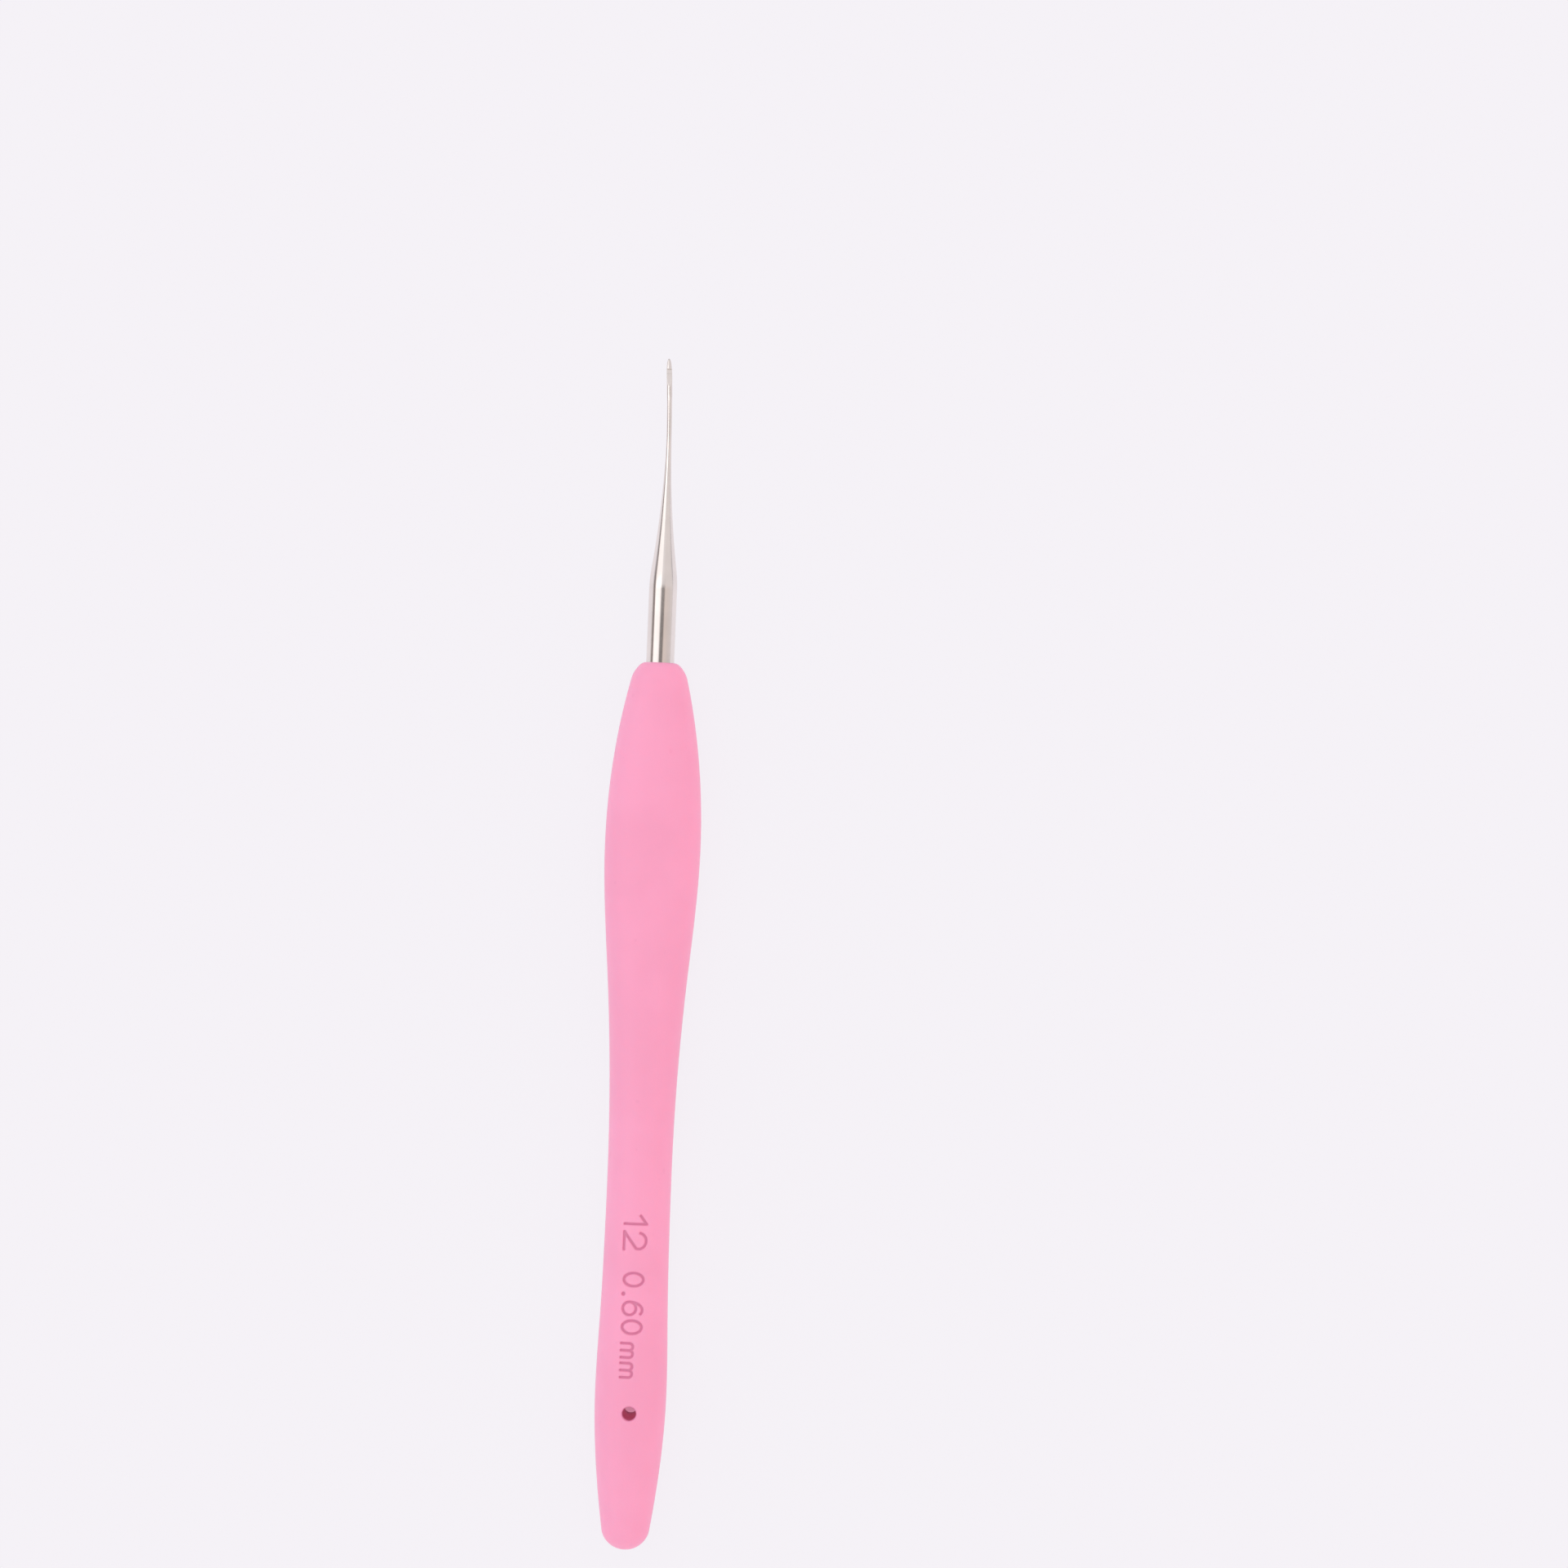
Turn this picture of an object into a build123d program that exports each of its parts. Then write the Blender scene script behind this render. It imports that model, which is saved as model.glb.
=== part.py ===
from build123d import *
import math
import os

# A crochet hook: a plated steel needle, the rigid core moulded round its tang, and the soft
# grip moulded over the core.  Millimetres.  The hook lies along X with its tip towards +X and
# its marked side up.  The origin is under the middle of the hook, on the surface it lies on.

# Overall
HOOK_LENGTH = 140.0
HANDLE_LENGTH = 104.25

# Needle
SHANK_D = 3.3
SHANK_LENGTH = 9.9
TAPER_LENGTH = 17.5
FINE_D = 0.60
PRESSED_WIDTH = 0.70
PRESSED_THICKNESS = 0.52
PRESSED_LENGTH = 4.0
PRESSED_EASE = 0.8
HEAD_LENGTH = 1.15
HEAD_FULLNESS = 0.50
HEAD_NARROWING = 0.72
TIP_FLAT = 0.10
THROAT_DEPTH = 0.33
THROAT_FLOOR = 0.55
THROAT_RAMP = 1.6
THROAT_LEAN = 20.0
THROAT_R = 0.10

# Tang, the end of the needle inside the handle, turned down so that the shank has a shoulder
TANG_D = 2.8
TANG_LENGTH = 40.0
WING_LENGTH = 8.0
WING_WIDTH = 4.0
WING_THICKNESS = 2.2
WING_CORNER_R = 0.6

# Handle outline: half width and half thickness at the places where its shape turns
TAIL_WIDTH = 4.90
TAIL_THICKNESS = 4.50
TAIL_FLARE = 0.16
TAIL_ROUND = 2.2
TAIL_FLAT = 0.30
SWELL_FROM_TAIL = 18.5
SWELL_WIDTH = 8.36
SWELL_THICKNESS = 7.20
WAIST_FROM_TAIL = 30.5
WAIST_WIDTH = 7.76
WAIST_FLARE = -0.02
NECK_SHARE = 0.40
NECK_WIDTH = 7.50
NECK_THICKNESS = 7.40
SHOULDER_FROM_NOSE = 39.95
SHOULDER_WIDTH = 8.90
SHOULDER_FLARE = 0.0705
GRIP_FROM_NOSE = 21.55
GRIP_WIDTH = 11.22
GRIP_THICKNESS = 7.80
NOSE_WIDTH = 5.60
NOSE_THICKNESS = 5.40
NOSE_FLARE = -0.27
NOSE_SLIMMING = -0.16
NOSE_ROUND = 1.9
NOSE_LIP = 0.05
SOFT_SQUARENESS = 2.15
GRIP_SQUARENESS = 2.60

# Core and cover
COVER_WALL = 1.2
CORE_SETBACK = 3.75
CORE_LIP = 0.3
CORE_EYE_D = 3.2
GROOVE_COUNT = 3
GROOVE_WIDTH = 1.6
GROOVE_DEPTH = 0.4
GROOVE_PITCH = 9.0

# Hanging hole
HOLE_D = 1.6
HOLE_FROM_TAIL = 16.4

# Size marking, plain numbers pressed into the cover, read from the hook towards the tail
MARK_DEPTH = 0.25
MARK_STROKE = 0.30
NUMBER_FROM_TAIL = 39.55
NUMBER_HEIGHT = 2.55
NUMBER_BASELINE = 1.36
SIZE_FROM_TAIL = 32.85
SIZE_HEIGHT = 2.25
SIZE_BASELINE = 1.21
UNIT_HEIGHT = 1.35
DIGIT_SHAPE = 0.68
POINT_D = 0.45
CLOSE_GAP = 0.66
OPEN_GAP = 0.92
UNIT_GAP = 1.13

# How finely the handle's form is drawn: loft sections, and steps round half a section
SECTION_COUNT = 26
OVAL_STEPS = 12

# Places that follow from the sizes above
AXIS_Z = max(SWELL_THICKNESS, NECK_THICKNESS, GRIP_THICKNESS) / 2
TAIL_X = -HOOK_LENGTH / 2
NOSE_X = TAIL_X + HANDLE_LENGTH
TIP_X = HOOK_LENGTH / 2
TAPER_X = NOSE_X + SHANK_LENGTH
FINE_X = TAPER_X + TAPER_LENGTH
HEAD_X = TIP_X - HEAD_LENGTH
FLAT_X = HEAD_X - PRESSED_LENGTH
SWELL_X = FLAT_X + PRESSED_EASE
CHEEK_X = HEAD_X - PRESSED_EASE
TANG_X = NOSE_X - TANG_LENGTH
SHOULDER_AT = HANDLE_LENGTH - SHOULDER_FROM_NOSE
GRIP_AT = HANDLE_LENGTH - GRIP_FROM_NOSE
NECK_AT = WAIST_FROM_TAIL + NECK_SHARE * (SHOULDER_AT - WAIST_FROM_TAIL)

# Each stop of an outline is (distance from the tail, size, slope of the half size)
WIDTH_STOPS = [
    (0.0, TAIL_WIDTH, TAIL_FLARE),
    (SWELL_FROM_TAIL, SWELL_WIDTH, 0.0),
    (WAIST_FROM_TAIL, WAIST_WIDTH, WAIST_FLARE),
    (NECK_AT, NECK_WIDTH, 0.0),
    (SHOULDER_AT, SHOULDER_WIDTH, SHOULDER_FLARE),
    (GRIP_AT, GRIP_WIDTH, 0.0),
    (HANDLE_LENGTH, NOSE_WIDTH, NOSE_FLARE),
]
THICKNESS_STOPS = [
    (0.0, TAIL_THICKNESS, TAIL_FLARE),
    (SWELL_FROM_TAIL, SWELL_THICKNESS, 0.0),
    (NECK_AT, NECK_THICKNESS, 0.0),
    (GRIP_AT, GRIP_THICKNESS, 0.0),
    (HANDLE_LENGTH, NOSE_THICKNESS, NOSE_SLIMMING),
]
SQUARENESS_STOPS = [
    (0.0, 2 * SOFT_SQUARENESS, 0.0),
    (NECK_AT, 2 * SOFT_SQUARENESS, 0.0),
    (GRIP_AT, 2 * GRIP_SQUARENESS, 0.0),
    (HANDLE_LENGTH, 2 * SOFT_SQUARENESS, 0.0),
]


def half_size(stops, s):
    """Half the size at distance s from the tail: cubic spans that pass each stop at its slope."""
    for (s0, size0, slope0), (s1, size1, slope1) in zip(stops, stops[1:]):
        if s <= s1:
            break
    span = s1 - s0
    t = (s - s0) / span
    rise = t * t * (3 - 2 * t)
    return (
        size0 / 2 * (1 - rise)
        + size1 / 2 * rise
        + slope0 * span * t * (1 - t) ** 2
        - slope1 * span * t * t * (1 - t)
    )


def quarter_round(distance, length):
    """How full a rounded end is at a distance from it, from 0 at the end to 1."""
    if distance >= length:
        return 1.0
    return math.sqrt(max(0.0, 1 - (1 - distance / length) ** 2))


def oval(x, half_width, half_thickness, squareness):
    """A closed section across X, an oval that gets squarer as squareness grows past 2."""
    power = 2 / squareness
    halves = []
    for side in (1, -1):
        points = []
        for step in range(OVAL_STEPS + 1):
            angle = math.pi * step / OVAL_STEPS
            across = math.copysign(abs(math.cos(angle)) ** power, math.cos(angle))
            up = abs(math.sin(angle)) ** power
            points.append(
                Vector(x, side * half_width * across, AXIS_Z + side * half_thickness * up)
            )
        points[-1] = Vector(x, -side * half_width, AXIS_Z)
        upright = [Vector(0, 0, side), Vector(0, 0, -side)]
        halves.append(Edge.make_spline(points, tangents=upright))
    return Wire(halves)


def handle_section(s, inset, start, end, end_size):
    """The handle's section at s, drawn in by inset, with its ends rounded at start and end."""
    sizes = []
    for stops in (WIDTH_STOPS, THICKNESS_STOPS):
        side = half_size(stops, s) - inset
        side = TAIL_FLAT / 2 + (side - TAIL_FLAT / 2) * quarter_round(s - start, TAIL_ROUND)
        sizes.append(end_size / 2 + (side - end_size / 2) * quarter_round(end - s, NOSE_ROUND))
    return oval(TAIL_X + s, sizes[0], sizes[1], half_size(SQUARENESS_STOPS, s))


def handle_solid(inset, start, end, end_size):
    """The handle's form, drawn in by inset: a loft whose sections crowd towards both ends."""
    turns = [math.pi * step / SECTION_COUNT for step in range(SECTION_COUNT + 1)]
    places = [start + (end - start) * (1 - math.cos(turn)) / 2 for turn in turns]
    return Solid.make_loft([handle_section(s, inset, start, end, end_size) for s in places])


def needle_solid():
    """The whole needle: tang, shank, long curved taper, fine shaft, pressed flat and head."""
    with BuildPart() as turned:
        with BuildSketch(Plane.XZ):
            with BuildLine():
                Polyline(
                    (TIP_X, TIP_FLAT / 2),
                    (TIP_X, 0),
                    (TANG_X, 0),
                    (TANG_X, TANG_D / 2),
                    (NOSE_X, TANG_D / 2),
                    (NOSE_X, SHANK_D / 2),
                    (TAPER_X, SHANK_D / 2),
                )
                TangentArc((FINE_X, FINE_D / 2), (TAPER_X, SHANK_D / 2), tangent=(-1, 0))
                Line((FINE_X, FINE_D / 2), (FLAT_X, FINE_D / 2))
                Spline(
                    (FLAT_X, FINE_D / 2),
                    (SWELL_X, PRESSED_WIDTH / 2),
                    tangents=[(1, 0), (1, 0)],
                )
                Line((SWELL_X, PRESSED_WIDTH / 2), (CHEEK_X, PRESSED_WIDTH / 2))
                Spline(
                    (CHEEK_X, PRESSED_WIDTH / 2),
                    (HEAD_X + HEAD_FULLNESS * HEAD_LENGTH, HEAD_NARROWING * PRESSED_WIDTH / 2),
                    (TIP_X, TIP_FLAT / 2),
                    tangents=[(1, 0), (0, -1)],
                )
            make_face()
        revolve(axis=Axis.X)
    top_cut = flat_cut()
    rod = turned.part.solid() - top_cut - top_cut.mirror(Plane.XY) - throat_cut()
    wings = Box(WING_LENGTH, WING_WIDTH, WING_THICKNESS)
    wings = fillet(wings.edges().filter_by(Axis.X), WING_CORNER_R)
    rod += wings.moved(Location((TANG_X + WING_LENGTH / 2, 0, 0)))
    return rod.solid().moved(Location((0, 0, AXIS_Z)))


def flat_cut():
    """What the press takes off one side of the fine shaft: a long flat with sloping ends."""
    flat = PRESSED_THICKNESS / 2
    proud = PRESSED_WIDTH
    with BuildPart() as cut:
        with BuildSketch(Plane.XZ):
            Polygon(
                (FLAT_X, FINE_D / 2),
                (SWELL_X, flat),
                (HEAD_X, flat),
                (HEAD_X + PRESSED_EASE, PRESSED_WIDTH / 2),
                (HEAD_X + PRESSED_EASE, proud),
                (FLAT_X, proud),
                align=None,
            )
        extrude(amount=proud, both=True)
    return cut.part.solid()


def throat_cut():
    """What is cut away for the throat: undercut at the lip, then rising slowly behind it."""
    top = PRESSED_THICKNESS
    floor = PRESSED_THICKNESS / 2 - THROAT_DEPTH
    lean = (top - floor) * math.tan(math.radians(THROAT_LEAN))
    ramp = THROAT_RAMP * (top - floor) / THROAT_DEPTH
    with BuildPart() as cut:
        with BuildSketch(Plane.XZ):
            with BuildLine():
                FilletPolyline(
                    (HEAD_X - lean, top),
                    (HEAD_X, floor),
                    (HEAD_X - THROAT_FLOOR, floor),
                    (HEAD_X - THROAT_FLOOR - ramp, top),
                    radius=THROAT_R,
                    close=True,
                )
            make_face()
        extrude(amount=PRESSED_WIDTH, both=True)
    return cut.part.solid()


def core_solid(needle):
    """The rigid core: moulded round the tang, with grip grooves and an eye for the cover."""
    end = HANDLE_LENGTH - CORE_SETBACK
    core = handle_solid(COVER_WALL, COVER_WALL, end, SHANK_D + 2 * CORE_LIP)
    deeper = handle_solid(COVER_WALL + GROOVE_DEPTH, COVER_WALL, end, SHANK_D)
    reach = 2 * max(SWELL_WIDTH, NECK_WIDTH, GRIP_WIDTH)
    for step in range(GROOVE_COUNT):
        groove_x = TAIL_X + NECK_AT + (step - (GROOVE_COUNT - 1) / 2) * GROOVE_PITCH
        band = Box(GROOVE_WIDTH, reach, reach).moved(Location((groove_x, 0, AXIS_Z)))
        core -= band - deeper
    core -= hole_pin(CORE_EYE_D)
    return (core - needle).solid()


def hole_pin(diameter):
    """A round bar across the tail where the hook is hung, longer than the tail is thick."""
    bar = Cylinder(diameter / 2, 4 * AXIS_Z)
    return bar.moved(Location((TAIL_X + HOLE_FROM_TAIL, 0, AXIS_Z)))


def cover_solid(needle, core):
    """The soft cover: the outer form less the core and needle, with the hole and the marking."""
    outer = handle_solid(0.0, 0.0, HANDLE_LENGTH, SHANK_D + 2 * NOSE_LIP)
    below = handle_solid(MARK_DEPTH, MARK_DEPTH, HANDLE_LENGTH - MARK_DEPTH, SHANK_D)
    marks = [bar - below for bar in marking_bars()]
    return outer.cut(core, needle, hole_pin(HOLE_D), *marks).solid()


def marking_bars():
    """An upright bar for each character of the marking, reaching out through the top surface."""
    number = [(glyph_one, OPEN_GAP), (glyph_two, CLOSE_GAP)]
    size = [
        (glyph_zero, OPEN_GAP),
        (glyph_point, OPEN_GAP),
        (glyph_six, CLOSE_GAP),
        (glyph_zero, UNIT_GAP),
        (glyph_m, CLOSE_GAP),
        (glyph_m, CLOSE_GAP),
    ]
    rows = [
        (number, NUMBER_FROM_TAIL, NUMBER_BASELINE, NUMBER_HEIGHT),
        (size, SIZE_FROM_TAIL, SIZE_BASELINE, SIZE_HEIGHT),
    ]
    bars = []
    for glyphs, start, baseline, height in rows:
        page = Plane(
            origin=(TAIL_X + start, baseline, AXIS_Z), x_dir=(-1, 0, 0), z_dir=(0, 0, 1)
        )
        along = 0.0
        for glyph, gap in glyphs:
            width, shape = glyph(height)
            place = page * Location((along, 0, 0))
            bars.append(extrude(place * shape, amount=2 * AXIS_Z).solid())
            along += width + gap
    return bars


def pen(*paths):
    """The flat shape a round pen leaves along each path."""
    return Sketch() + [SlotArc(path, MARK_STROKE) for path in paths]


def ring(x, y, width, height):
    """The flat shape a round pen leaves round an oval whose middle is at x, y."""
    outside = Ellipse((width + MARK_STROKE) / 2, (height + MARK_STROKE) / 2)
    inside = Ellipse((width - MARK_STROKE) / 2, (height - MARK_STROKE) / 2)
    return Pos(x, y) * (outside - inside)


def glyph_one(height):
    width = 0.38 * height
    stem = Line((width, 0), (width, height))
    return width, pen(stem, Line((0, 0.72 * height), (width, height)))


def glyph_two(height):
    width = 0.82 * height
    turn = (0.95 * width, 0.6 * height)
    bow = ThreePointArc((0.08 * width, 0.68 * height), (0.52 * width, height), turn)
    return width, pen(bow, Line(turn, (0, 0)), Line((0, 0), (width, 0)))


def glyph_zero(height):
    width = DIGIT_SHAPE * height
    return width, ring(width / 2, height / 2, width, height)


def glyph_point(height):
    return 0.0, Circle(POINT_D / 2)


def glyph_six(height):
    width = DIGIT_SHAPE * height
    brow = (0.25 * width, 0.86 * height)
    back = ThreePointArc((0, width / 2), brow, (0.9 * width, 0.93 * height))
    return width, ring(width / 2, width / 2, width, width) + pen(back)


def glyph_m(height):
    half = 0.37 * height
    arch = 0.7 * UNIT_HEIGHT
    paths = [Line((step * half, 0), (step * half, arch)) for step in range(3)]
    for left in (0, half):
        paths.append(
            ThreePointArc((left, arch), (left + half / 2, UNIT_HEIGHT), (left + half, arch))
        )
    return 2 * half, pen(*paths)


def main():
    os.makedirs("parts", exist_ok=True)
    needle = needle_solid()
    core = core_solid(needle)
    cover = cover_solid(needle, core)
    for name, solid in (("hook_needle", needle), ("handle_core", core), ("grip_cover", cover)):
        solid.label = name
        export_step(solid, "parts/" + name + ".step")


if __name__ == "__main__":
    main()
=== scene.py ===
"""Looks of a fine steel crochet hook with a soft moulded handle, built round its CAD frame."""

import math

import bmesh
import bpy
import numpy as np
from bpy.props import FloatProperty, FloatVectorProperty, PointerProperty
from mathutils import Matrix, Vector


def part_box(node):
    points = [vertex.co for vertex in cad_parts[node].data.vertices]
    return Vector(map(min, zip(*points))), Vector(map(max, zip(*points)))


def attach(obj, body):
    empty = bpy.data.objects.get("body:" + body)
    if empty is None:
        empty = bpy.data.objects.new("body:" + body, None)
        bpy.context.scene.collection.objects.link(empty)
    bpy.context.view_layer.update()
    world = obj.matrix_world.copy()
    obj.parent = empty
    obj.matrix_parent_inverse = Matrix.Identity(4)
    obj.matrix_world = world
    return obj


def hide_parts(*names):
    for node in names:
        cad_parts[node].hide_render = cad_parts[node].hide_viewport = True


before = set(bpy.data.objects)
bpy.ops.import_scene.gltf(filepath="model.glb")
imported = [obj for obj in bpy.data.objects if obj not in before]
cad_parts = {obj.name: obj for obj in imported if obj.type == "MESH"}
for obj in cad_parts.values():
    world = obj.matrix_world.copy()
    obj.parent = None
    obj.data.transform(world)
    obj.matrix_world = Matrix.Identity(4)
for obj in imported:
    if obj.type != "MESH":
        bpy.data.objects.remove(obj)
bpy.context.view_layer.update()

bl_info = {
    "name": "Crochet Hook",
    "version": (1, 0, 0),
    "blender": (4, 5, 0),
    "location": "View3D > Sidebar > Hook",
    "description": "Makes a fine steel crochet hook with a soft moulded handle",
    "category": "Object",
}

MM = 0.001
COVER_LOW, COVER_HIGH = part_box("grip_cover")
CORE_LOW, CORE_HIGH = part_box("handle_core")
NEEDLE_LOW, NEEDLE_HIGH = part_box("hook_needle")
AXIS_Z = (NEEDLE_LOW.z + NEEDLE_HIGH.z) / 2


# ---------------------------------------------------------------- sizes and colours


def length(name, description, default_mm):
    """A length property, shown in scene units and given here in millimetres."""
    return FloatProperty(
        name=name, description=description, default=default_mm * MM, unit="LENGTH", precision=5
    )


def colour(name, description, red, green, blue):
    """A colour property, given as it looks on a screen, 0 to 255."""
    parts = [screen_to_linear(part / 255) for part in (red, green, blue)]
    return FloatVectorProperty(
        name=name, description=description, default=parts, size=3, subtype="COLOR", min=0, max=1
    )


def screen_to_linear(value):
    return value / 12.92 if value <= 0.04045 else ((value + 0.055) / 1.055) ** 2.4


class HandleSizes(bpy.types.PropertyGroup):
    """The handle's outline at the places where it turns, its hole and its marking."""

    tail_width: length("Tail width", "Width at the tail before its end is rounded", 4.90)
    tail_thickness: length("Tail thickness", "Thickness at the tail before rounding", 4.50)
    tail_round: length("Tail rounding", "Length of the tail's rounded end", 2.2)
    tail_flat: length("Tail flat", "Width left flat at the very end", 0.30)
    swell_from_tail: length("Swell from tail", "Distance of the tail's widest place", 18.5)
    swell_width: length("Swell width", "Width of the tail's swelling", 8.36)
    swell_thickness: length("Swell thickness", "Thickness of the tail's swelling", 7.20)
    waist_from_tail: length("Waist from tail", "Distance where the waist begins", 30.5)
    waist_width: length("Waist width", "Width where the waist begins", 7.76)
    neck_width: length("Neck width", "Smallest width of the handle", 7.50)
    neck_thickness: length("Neck thickness", "Thickness at the neck", 7.40)
    shoulder_from_nose: length("Shoulder from nose", "Distance where the grip begins", 39.95)
    shoulder_width: length("Shoulder width", "Width where the grip begins", 8.90)
    grip_from_nose: length("Grip from nose", "Distance of the grip's widest place", 21.55)
    nose_width: length("Nose width", "Width at the nose before it is rounded", 5.60)
    nose_thickness: length("Nose thickness", "Thickness at the nose before rounding", 5.40)
    nose_round: length("Nose rounding", "Length of the rounded nose", 1.9)
    nose_lip: length("Nose lip", "Flat left round the shank at the nose", 0.05)
    hole_width: length("Hanging hole", "Width of the hanging hole", 1.6)
    hole_from_tail: length("Hole from tail", "Distance of the hole from the tail", 16.4)
    hole_rim: length("Hole rim", "Rounding of the hole's rim", 0.22)
    mark_depth: length("Mark depth", "How deep the size marking is pressed", 0.22)
    mark_stroke: length("Mark stroke", "Width of the marking's strokes", 0.30)
    parting_width: length("Parting line width", "Width of the mould's parting line", 0.12)
    parting_height: length("Parting line height", "How far the parting line stands out", 0.015)


class NeedleSizes(bpy.types.PropertyGroup):
    """The steel needle from its shank to its hooked tip."""

    shank_length: length("Shank length", "Bare straight shank in front of the handle", 9.9)
    taper_length: length("Taper length", "Length of the long curved taper", 17.5)
    fine_width: length("Working shaft", "Width of the fine working shaft", 0.60)
    pressed_width: length("Pressed width", "Width of the pressed flat", 0.64)
    pressed_thickness: length("Pressed thickness", "Thickness of the pressed flat", 0.56)
    pressed_length: length("Pressed length", "Length of the pressed flat", 4.0)
    head_length: length("Head length", "From the hook's lip to its tip", 1.10)
    throat_depth: length("Throat depth", "Depth of the throat behind the lip", 0.33)
    throat_floor: length("Throat floor", "Flat length at the bottom of the throat", 0.55)
    throat_ramp: length("Throat ramp", "Length of the slope out of the throat", 1.6)
    sprung: length("Sprung", "How far use has sprung the fine end to one side", 0.38)
    sprung_length: length("Sprung length", "Length over which the fine end is sprung", 12.0)
    lip_lean: length("Lip lean", "How far the lip's edge leans back over the throat", 0.05)
    tang_width: length("Tang width", "Width of the tang inside the handle", 2.8)
    tang_sink: length("Shank sink", "How far the shank runs into the handle", 0.35)


class FinishColours(bpy.types.PropertyGroup):
    """The colours of the hook's finishes, of the shade and glow painted on the cover and the floor,
    and of the surface it lies on.
    """

    cover: colour("Cover", "Soft cover", 252, 165, 200)
    # Painted shade in the pressed marking and on the hole's rim; the faint specks take this colour
    # too
    mark_shade_and_specks: colour("Marking", "Cover where the marking is pressed in", 226, 138, 176)
    # Painted shade on the wall of the hanging hole
    hole_wall_shade: colour("Inside the hole", "Cover on the wall of the hole", 190, 90, 120)
    # Painted glow on the hole's wall, standing in for light that soaks through the cover
    painted_hole_glow: colour("Soaked light", "Light that soaks through the cover into the hole", 103, 34, 55)
    steel: colour("Steel", "Nickel plate", 238, 230, 226)
    core: colour("Core", "Hidden core plastic", 238, 232, 224)
    floor: colour("Floor", "The surface under the hook", 245, 242, 247)
    # Painted pink shade on the floor under the hanging hole, seen through it
    under: colour("Under the hole", "The floor in the pink shade of the hole", 204, 128, 154)


class StageSettings(bpy.types.PropertyGroup):
    """Where the camera stands, and how bright the studio is."""

    camera_height: length("Camera height", "Camera's height over the hook", 510)
    view_width: length("View width", "How much of the table the camera sees across", 184.3)
    aim_x: length("Aim along", "Where the camera looks, along the hook", 20.6)
    aim_y: length("Aim across", "Where the camera looks, across the hook", -15.12)
    turn: FloatProperty(
        name="Turn", description="Turn of the view", default=math.radians(2.31), subtype="ANGLE"
    )
    light: FloatProperty(name="Light", description="Strength of all the light", default=1.05, min=0)
    strong_side: FloatVectorProperty(
        name="Strong side", description="Light from the softbox's side", size=3,
        subtype="COLOR", default=(0.97, 1.0, 1.0),
    )
    weak_side: FloatVectorProperty(
        name="Weak side", description="Light from the other side", size=3,
        subtype="COLOR", default=(1.0, 0.86, 0.85),
    )
    shadow: FloatProperty(
        name="Shadow", description="How far shadows show on the floor", default=0.07, min=0, max=1
    )


# ---------------------------------------------------------------- node trees


class Wire:
    """A socket of a node tree.  Arithmetic on it adds Math nodes to the tree."""

    def __init__(self, tree, socket):
        self.tree = tree
        self.socket = socket

    def math(self, operation, *others):
        return self.tree.add("ShaderNodeMath", {"operation": operation}, [self, *others])

    def __add__(self, other):
        return self.math("ADD", other)

    __radd__ = __add__

    def __mul__(self, other):
        return self.math("MULTIPLY", other)

    __rmul__ = __mul__

    def __sub__(self, other):
        return self.math("SUBTRACT", other)

    def __rsub__(self, other):
        return self.tree.add("ShaderNodeMath", {"operation": "SUBTRACT"}, [other, self])

    def ease(self, low, high):
        """0 below low, 1 above high, with a smooth step between them."""
        return self.tree.add(
            "ShaderNodeMapRange",
            {"interpolation_type": "SMOOTHSTEP"},
            {"Value": self, "From Min": low, "From Max": high},
        )


class Tree:
    """A node tree that is filled by one method."""

    def __init__(self, owner):
        owner.use_nodes = True
        self.nodes = owner.node_tree.nodes
        self.links = owner.node_tree.links
        self.nodes.clear()

    def add(self, kind, settings=None, sockets=(), output=0):
        """Adds a node: its settings are set first, then its sockets' values or links."""
        node = self.nodes.new(kind)
        for key, value in (settings or {}).items():
            setattr(node, key, value)
        pairs = sockets.items() if isinstance(sockets, dict) else enumerate(sockets)
        for key, value in pairs:
            if isinstance(value, Wire):
                self.links.new(value.socket, node.inputs[key])
            else:
                node.inputs[key].default_value = value
        return Wire(self, node.outputs[output]) if node.outputs else node

    def noise(self, place, scale, detail=2.0, roughness=0.5):
        sockets = {"Vector": place, "Scale": scale, "Detail": detail, "Roughness": roughness}
        return self.add("ShaderNodeTexNoise", {}, sockets, "Fac")

    def blend(self, share, first, second):
        """A colour between two, by a share from 0 to 1."""
        return self.add(
            "ShaderNodeMix", {"data_type": "RGBA"}, {0: share, 6: first, 7: second}, 2
        )

    def stretched(self, x, y, z):
        """Places in the object's own space, stretched along each axis."""
        place = self.add("ShaderNodeTexCoord", {}, (), "Object")
        return self.add(
            "ShaderNodeVectorMath", {"operation": "MULTIPLY"}, [place, (x, y, z)]
        )

    def parts(self, vector):
        """The x, y and z of a vector."""
        split = self.add("ShaderNodeSeparateXYZ", {}, [vector]).socket.node
        return [Wire(self, socket) for socket in split.outputs]

    def rays(self, *kinds):
        """1 for rays of these kinds, and 0 for all others."""
        path = self.add("ShaderNodeLightPath").socket.node
        return sum(Wire(self, path.outputs[f"Is {kind} Ray"]) for kind in kinds)

    def bump(self, height, distance, strength=1.0):
        sockets = {"Height": height, "Distance": distance, "Strength": strength}
        return self.add("ShaderNodeBump", {}, sockets, "Normal")

    def surface(self, sockets):
        shader = self.add("ShaderNodeBsdfPrincipled", {}, sockets)
        self.add("ShaderNodeOutputMaterial", {}, {"Surface": shader})


def opaque(rgb):
    return (*rgb, 1.0)


def shade(rgb, factor):
    """A colour made lighter or darker."""
    return tuple(min(1.0, part * factor) for part in rgb)


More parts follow.
